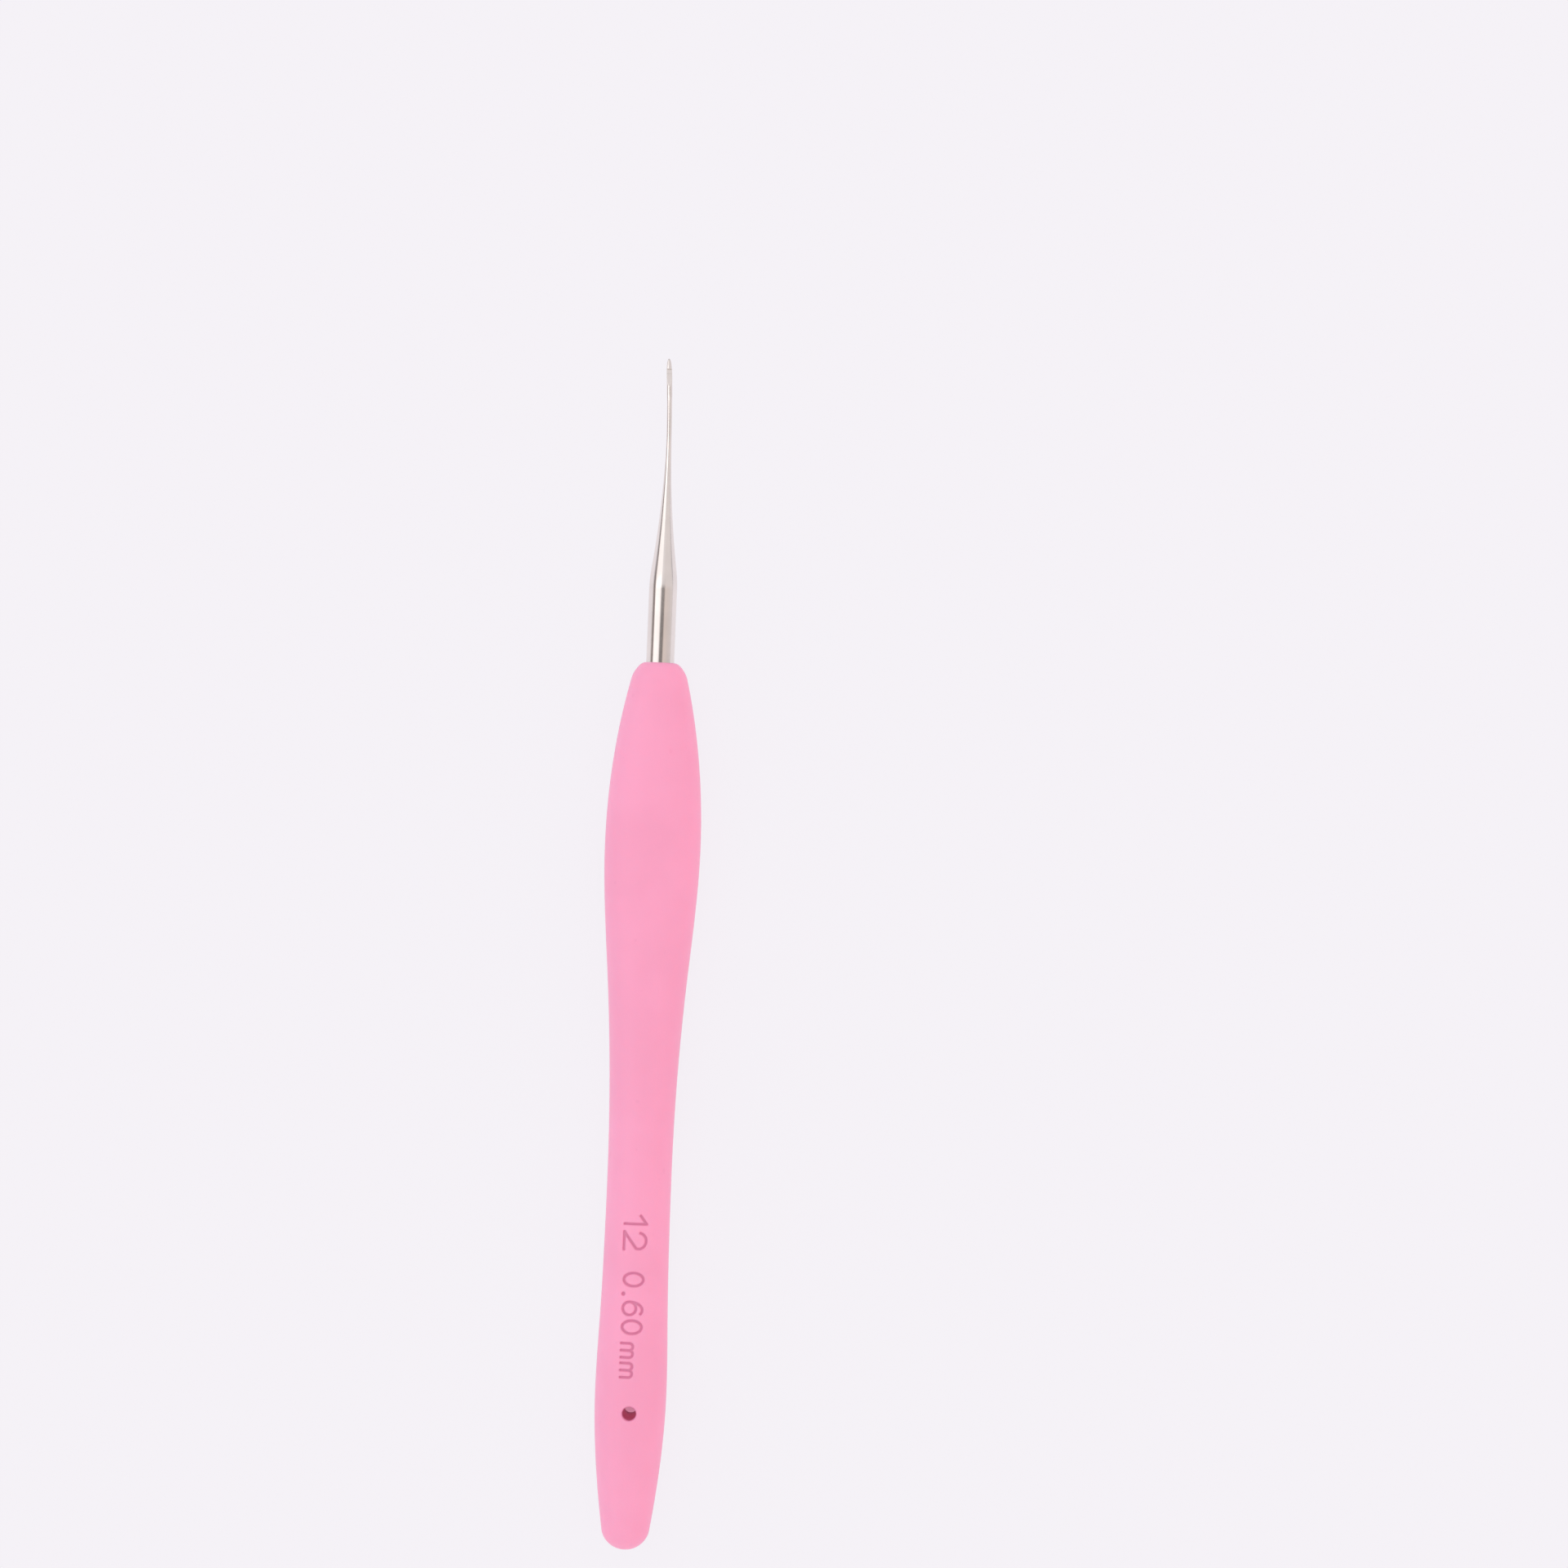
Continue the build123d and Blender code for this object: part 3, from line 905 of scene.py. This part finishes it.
def needle_outline(sizes):
    """Half width and half thickness of the needle at places along it, in millimetres."""
    nose = COVER_HIGH.x / MM
    tip = NEEDLE_HIGH.x / MM
    tang = NEEDLE_LOW.x / MM
    shank = (NEEDLE_HIGH.z - NEEDLE_LOW.z) / MM / 2
    fine = sizes.fine_width / MM / 2
    taper_start = nose + sizes.shank_length / MM
    taper = sizes.taper_length / MM
    taper_end = taper_start + taper
    rise = shank - fine
    bend = (taper**2 + rise**2) / (2 * rise)
    lip = tip - sizes.head_length / MM
    flat_start = lip - sizes.pressed_length / MM
    flat_width, flat_height = sizes.pressed_width / MM / 2, sizes.pressed_thickness / MM / 2
    shoulder = nose - sizes.tang_sink / MM
    tang_half = sizes.tang_width / MM / 2

    def sizes_at(x):
        if x <= shoulder - HAIR / 2:
            edge = math.sqrt(max(0.0, 1 - max(0.0, 1 - (x - tang) / TANG_ROUND) ** 2))
            half = tang_half - TANG_ROUND * (1 - edge)
            return half, half
        if x < taper_end:
            thin = fine + bend - math.sqrt(bend**2 - (taper_end - x) ** 2)
            share = min(1.0, max(0.0, 0.5 + (shank - thin) / (2 * SOFT_CORNER)))
            half = shank + (thin - shank) * share - SOFT_CORNER * share * (1 - share)
            return half, half
        press = float(smooth_step(np.array((x - flat_start) / PRESS_RUN)))
        wide, high = fine + (flat_width - fine) * press, fine + (flat_height - fine) * press
        if x <= lip - HEAD_RUN:
            return wide, high
        run = (x - (lip - HEAD_RUN)) / (tip - lip + HEAD_RUN)
        point = math.sqrt(max(0.0, 1 - run**HEAD_BLUNT))
        narrow = 1 - HEAD_TAPER * run
        return wide * point * narrow, (high + HEAD_LIFT) * point * narrow

    return sizes_at, (tang, shoulder, taper_start, taper_end, flat_start, lip, tip)


def throat_line(sizes, lip, top_of):
    """The throat's outline on top of the needle: (place under, place on top, height) rings."""
    depth = sizes.throat_depth / MM
    floor_length = sizes.throat_floor / MM
    ramp = sizes.throat_ramp / MM
    lean = sizes.lip_lean / MM
    start = lip - floor_length - ramp
    floor = top_of(lip - HEAD_RUN) - depth
    landing = floor + FLOOR_FALL
    rings = []
    for share in np.linspace(0, 1, 22)[1:]:
        x = start + ramp * share
        height = top_of(start) + (landing - top_of(start)) * math.sin(math.pi / 2 * share)
        rings.append((x, x, height))
    flat = np.linspace(lip - floor_length, lip - LIP_FOOT, 7)[1:-1]
    for x in (*flat, lip - LIP_CRISP, lip - LIP_FOOT):
        done = min(1.0, (x - lip + floor_length) / (floor_length - LIP_CRISP))
        rings.append((x, x, landing + (floor - landing) * done))
    edge = top_of(lip - LIP_EDGE)
    for share in np.linspace(0, 1, 12)[1:]:
        height = floor + (edge - floor) * share
        swing = math.sin(math.pi * min(1.0, share * 1.6) / 2)
        back = -lean * share + 0.05 * swing * (1 - share)
        rings.append((lip - LIP_FOOT + 0.06 * share, lip - LIP_FOOT / 2 + back, height))
    return start, rings


def make_needle(sizes, material):
    """The steel needle as one closed tube, with the throat cut into the top behind its lip."""
    skin = Skin()
    sizes_at, marks = needle_outline(sizes)
    tang, shoulder, taper_start, taper_end, flat_start, lip, tip = marks
    turns = 2 * math.pi * (np.arange(SHANK_SEGMENTS) + 0.5) / SHANK_SEGMENTS
    axis_z = AXIS_Z / MM
    sprung, sprung_length = sizes.sprung / MM, sizes.sprung_length / MM

    def sideways(x):
        return sprung * np.clip((x - tip) / sprung_length + 1, 0.0, None) ** 2

    def ring(x_low, x_top, clip=None):
        wide, high = sizes_at(x_low)
        square = float(smooth_step(np.array((x_low - lip + SQUARE_BACK) / SQUARE_RUN)))
        power = 2 / (2 + SQUARE_GAIN * square)
        y = wide * np.sign(np.cos(turns)) * np.abs(np.cos(turns)) ** power
        z = high * np.sign(np.sin(turns)) * np.abs(np.sin(turns)) ** power
        if clip is not None:
            z = np.minimum(z, clip)
            top = max(clip, -high + 1e-6)
        else:
            top = high
        share = np.clip((z + high) / (top + high), 0, 1) ** 2
        x = x_low + (x_top - x_low) * share
        return skin.ring(np.stack([x, y + sideways(x), axis_z + z], axis=1).tolist())

    throat_start, throat = throat_line(sizes, lip, lambda x: sizes_at(x)[1])
    places = joined(
        tang + TANG_ROUND * (1 - np.cos(np.radians(np.linspace(0, 90, 6)))),
        steps(tang + TANG_ROUND, shoulder - HAIR, pitch=2.0),
        steps(shoulder - HAIR, shoulder, pitch=HAIR),
        steps(shoulder, shoulder + HAIR, pitch=HAIR),
        steps(shoulder + HAIR, taper_start - CORNER_BACK, pitch=1.0),
        steps(taper_start - CORNER_BACK, taper_start + CORNER_AHEAD, pitch=0.1),
        steps(taper_start + CORNER_AHEAD, taper_end, pitch=0.4),
        steps(taper_end, flat_start, pitch=0.5),
        steps(flat_start, throat_start, pitch=0.12),
    )
    before = ring(places[0], places[0])
    skin.cap(before, (places[0], 0.0, axis_z))
    for x in places[1:]:
        after = ring(x, x)
        skin.bridge(before, after)
        before = after
    for x_low, x_top, height in throat:
        after = ring(x_low, x_top, height)
        skin.bridge(before, after)
        before = after
    last_low, last_top = throat[-1][0], throat[-1][1]
    run = tip - last_low
    for share in (0.006, *np.sin(np.radians(np.linspace(0, 90, 22)))[1:-1]):
        x_low = last_low + run * share
        x_top = x_low + (last_top - last_low) * (1 - share) ** 2
        after = ring(x_low, x_top)
        skin.bridge(before, after)
        before = after
    skin.cap(before, (tip, sprung, axis_z))
    return skin.build("steel_hook_needle", material)


# ---------------------------------------------------------------- operators


class HOOK_OT_make_cover(bpy.types.Operator):
    """Make the soft cover with its size marking and hanging hole"""

    bl_idname = "hook.make_cover"
    bl_label = "Soft cover"

    def execute(self, context):
        scene = context.scene
        material = soft_cover_finish(scene.hook_colours)
        cover = make_cover(scene.hook_handle, material)
        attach(cover, "root")
        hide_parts("grip_cover")
        return {"FINISHED"}


class HOOK_OT_make_needle(bpy.types.Operator):
    """Make the plated steel needle with its throat and tip"""

    bl_idname = "hook.make_needle"
    bl_label = "Steel needle"

    def execute(self, context):
        scene = context.scene
        needle = make_needle(scene.hook_needle, plated_steel_finish(scene.hook_colours))
        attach(needle, "root")
        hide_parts("hook_needle")
        return {"FINISHED"}


class HOOK_OT_finish_core(bpy.types.Operator):
    """Give the hidden core its moulded plastic finish"""

    bl_idname = "hook.finish_core"
    bl_label = "Hidden core"

    def execute(self, context):
        material = core_plastic_finish(context.scene.hook_colours)
        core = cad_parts["handle_core"]
        core.data.materials.clear()
        core.data.materials.append(material)
        return {"FINISHED"}


class HOOK_OT_make_stage(bpy.types.Operator):
    """Set up the floor, the soft light and the camera"""

    bl_idname = "hook.make_stage"
    bl_label = "Stage"

    def execute(self, context):
        scene = context.scene
        hole_x = COVER_LOW.x + scene.hook_handle.hole_from_tail
        make_floor(floor_finish(scene.hook_colours, scene.hook_stage.shadow, hole_x))
        make_light(scene.hook_stage, scene.hook_colours)
        make_camera(scene.hook_stage)
        scene.view_settings.view_transform = "Standard"
        return {"FINISHED"}


FLOOR_DROP = 0.02  # how far the floor lies under the handle, in millimetres
FLOOR_RADII = np.geomspace(60, 3000, 14)


def make_floor(material):
    """A wide round floor under the hook, finely divided in rings."""
    skin = Skin()
    centre = (0.0, 0.0, COVER_LOW.z / MM - FLOOR_DROP)
    turns = np.radians(np.arange(0, 360, 7.5))
    rings = []
    for radius in FLOOR_RADII:
        points = np.stack(
            [radius * np.cos(turns), radius * np.sin(turns), np.full_like(turns, centre[2])],
            axis=1,
        )
        rings.append(skin.ring(points.tolist()))
    skin.cap(rings[0], centre)
    for low, high in zip(rings, rings[1:]):
        skin.bridge(low, high)
    floor = skin.build("pale_floor", material)


# What polished metal mirrors, across the hook in degrees from straight overhead, positive on
# the side that the tops of the marking's letters lean away from: where a panel starts and
# ends, how soft its edges are, the part of the needle that mirrors it, and its tone
PANELS = {
    "dark gap overhead": (-17.0, 12.5, 3.0, "shank", (0.07, 0.058, 0.05)),
    "softbox": (19.0, 61.0, 2.5, "shank", (1.08, 1.04, 1.04)),
    "softbox past the shank": (12.0, 61.0, 3.0, "fine end", (1.6, 1.57, 1.57)),
    "softbox on the taper": (12.0, 61.0, 3.0, "taper", (1.12, 1.10, 1.10)),
    "dark gap under the softbox": (65.0, 82.0, 2.5, "all", (0.24, 0.21, 0.21)),
}


# The studio's walls and ceiling round those panels, in linear tones
WEAK_WALL_LOW = (0.50, 0.45, 0.455)
WEAK_WALL_HIGH = (0.71, 0.62, 0.57)
WEAK_WALL_PAST_SHANK = (0.78, 0.745, 0.745)
OVERHEAD = (0.82, 0.80, 0.81)
STRONG_WALL = (0.66, 0.61, 0.59)
BEYOND_TIP = (0.52, 0.51, 0.54)


def mirrored_studio(tree):
    """The tone of the studio in each direction, as polished metal shows it."""

    def rising(angle, low, high):
        return angle.ease(math.radians(low), math.radians(high))

    direction = tree.add("ShaderNodeTexCoord", {}, (), "Generated")
    along, across, up = tree.parts(direction)
    lean = tree.add("ShaderNodeMath", {"operation": "ARCTAN2"}, [across, up])
    ahead = tree.add("ShaderNodeMath", {"operation": "ARCTAN2"}, [along, up])
    past_shank = rising(ahead, 2.6, 5.0)
    weak_wall = tree.blend(
        rising(lean, -95, -20), opaque(WEAK_WALL_LOW), opaque(WEAK_WALL_HIGH)
    )
    weak_wall = tree.blend(past_shank, weak_wall, opaque(WEAK_WALL_PAST_SHANK))
    tone = tree.blend(rising(lean, -14, 0), weak_wall, opaque(OVERHEAD))
    tone = tree.blend(rising(lean, 12, 60), tone, opaque(STRONG_WALL))
    ahead_of_grip = rising(ahead, -26, -12)
    mirrored_by = {
        "all": 1.0,
        "shank": (1 - past_shank) * ahead_of_grip,
        "fine end": past_shank,
        "taper": rising(ahead, 10.5, 16.5),
    }
    for start, end, soft, part, panel in PANELS.values():
        inside = rising(lean, start - soft, start + soft) - rising(lean, end - soft, end + soft)
        tone = tree.blend(inside * mirrored_by[part], tone, opaque(panel))
    return tree.blend(rising(ahead, 45, 62), tone, opaque(BEYOND_TIP)), lean


def make_light(stage, colours):
    """Plain even light, a little weaker from one side, in a studio that metal mirrors."""
    world = bpy.data.worlds.new("studio")
    bpy.context.scene.world = world
    world.cycles.sampling_method = "NONE"
    tree = Tree(world)
    mirrored, lean = mirrored_studio(tree)
    plain = tree.blend(
        lean.ease(math.radians(-50), math.radians(50)),
        opaque(stage.weak_side),
        opaque(stage.strong_side),
    )
    tone = tree.blend(tree.rays("Glossy"), plain, mirrored)
    glow = tree.add("ShaderNodeBackground", {}, {"Color": tone, "Strength": stage.light})
    far = tree.add("ShaderNodeBackground", {}, {"Color": opaque(colours.floor), "Strength": 1.0})
    seen = tree.rays("Camera", "Transmission")
    shown = tree.add("ShaderNodeMixShader", {}, {0: seen, 1: glow, 2: far})
    tree.add("ShaderNodeOutputWorld", {}, {"Surface": shown})


def make_camera(stage):
    """A camera that looks straight down, turned a little so the hook leans as it lies."""
    camera = bpy.data.cameras.new("camera")
    camera.sensor_width = 36.0
    camera.lens = camera.sensor_width * stage.camera_height / stage.view_width
    camera.clip_start = 0.01
    camera.clip_end = 20.0
    holder = bpy.data.objects.new("camera", camera)
    holder.location = (stage.aim_x, stage.aim_y, AXIS_Z + stage.camera_height)
    holder.rotation_euler = (0.0, 0.0, math.radians(-90) + stage.turn)
    bpy.context.scene.collection.objects.link(holder)
    bpy.context.scene.camera = holder


class HOOK_PT_panel(bpy.types.Panel):
    """Lists what the add-on makes"""

    bl_label = "Crochet Hook"
    bl_idname = "HOOK_PT_panel"
    bl_space_type = "VIEW_3D"
    bl_region_type = "UI"
    bl_category = "Hook"

    def draw(self, context):
        for operator in OPERATORS:
            self.layout.operator(operator.bl_idname)
        for name in ("hook_handle", "hook_needle", "hook_colours", "hook_stage"):
            group = getattr(context.scene, name)
            box = self.layout.box()
            for key in group.__annotations__:
                box.prop(group, key)


OPERATORS = (HOOK_OT_make_cover, HOOK_OT_make_needle, HOOK_OT_finish_core, HOOK_OT_make_stage)
GROUPS = {
    "hook_handle": HandleSizes,
    "hook_needle": NeedleSizes,
    "hook_colours": FinishColours,
    "hook_stage": StageSettings,
}


def register():
    for group in GROUPS.values():
        bpy.utils.register_class(group)
    for operator in OPERATORS:
        bpy.utils.register_class(operator)
    bpy.utils.register_class(HOOK_PT_panel)
    for name, group in GROUPS.items():
        setattr(bpy.types.Scene, name, PointerProperty(type=group))


def unregister():
    for name in GROUPS:
        delattr(bpy.types.Scene, name)
    bpy.utils.unregister_class(HOOK_PT_panel)
    for operator in reversed(OPERATORS):
        bpy.utils.unregister_class(operator)
    for group in reversed(GROUPS.values()):
        bpy.utils.unregister_class(group)


def main():
    """Registers the add-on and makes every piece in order."""
    register()
    bpy.ops.hook.make_cover()
    bpy.ops.hook.make_needle()
    bpy.ops.hook.finish_core()
    bpy.ops.hook.make_stage()


if __name__ == "__main__":
    main()
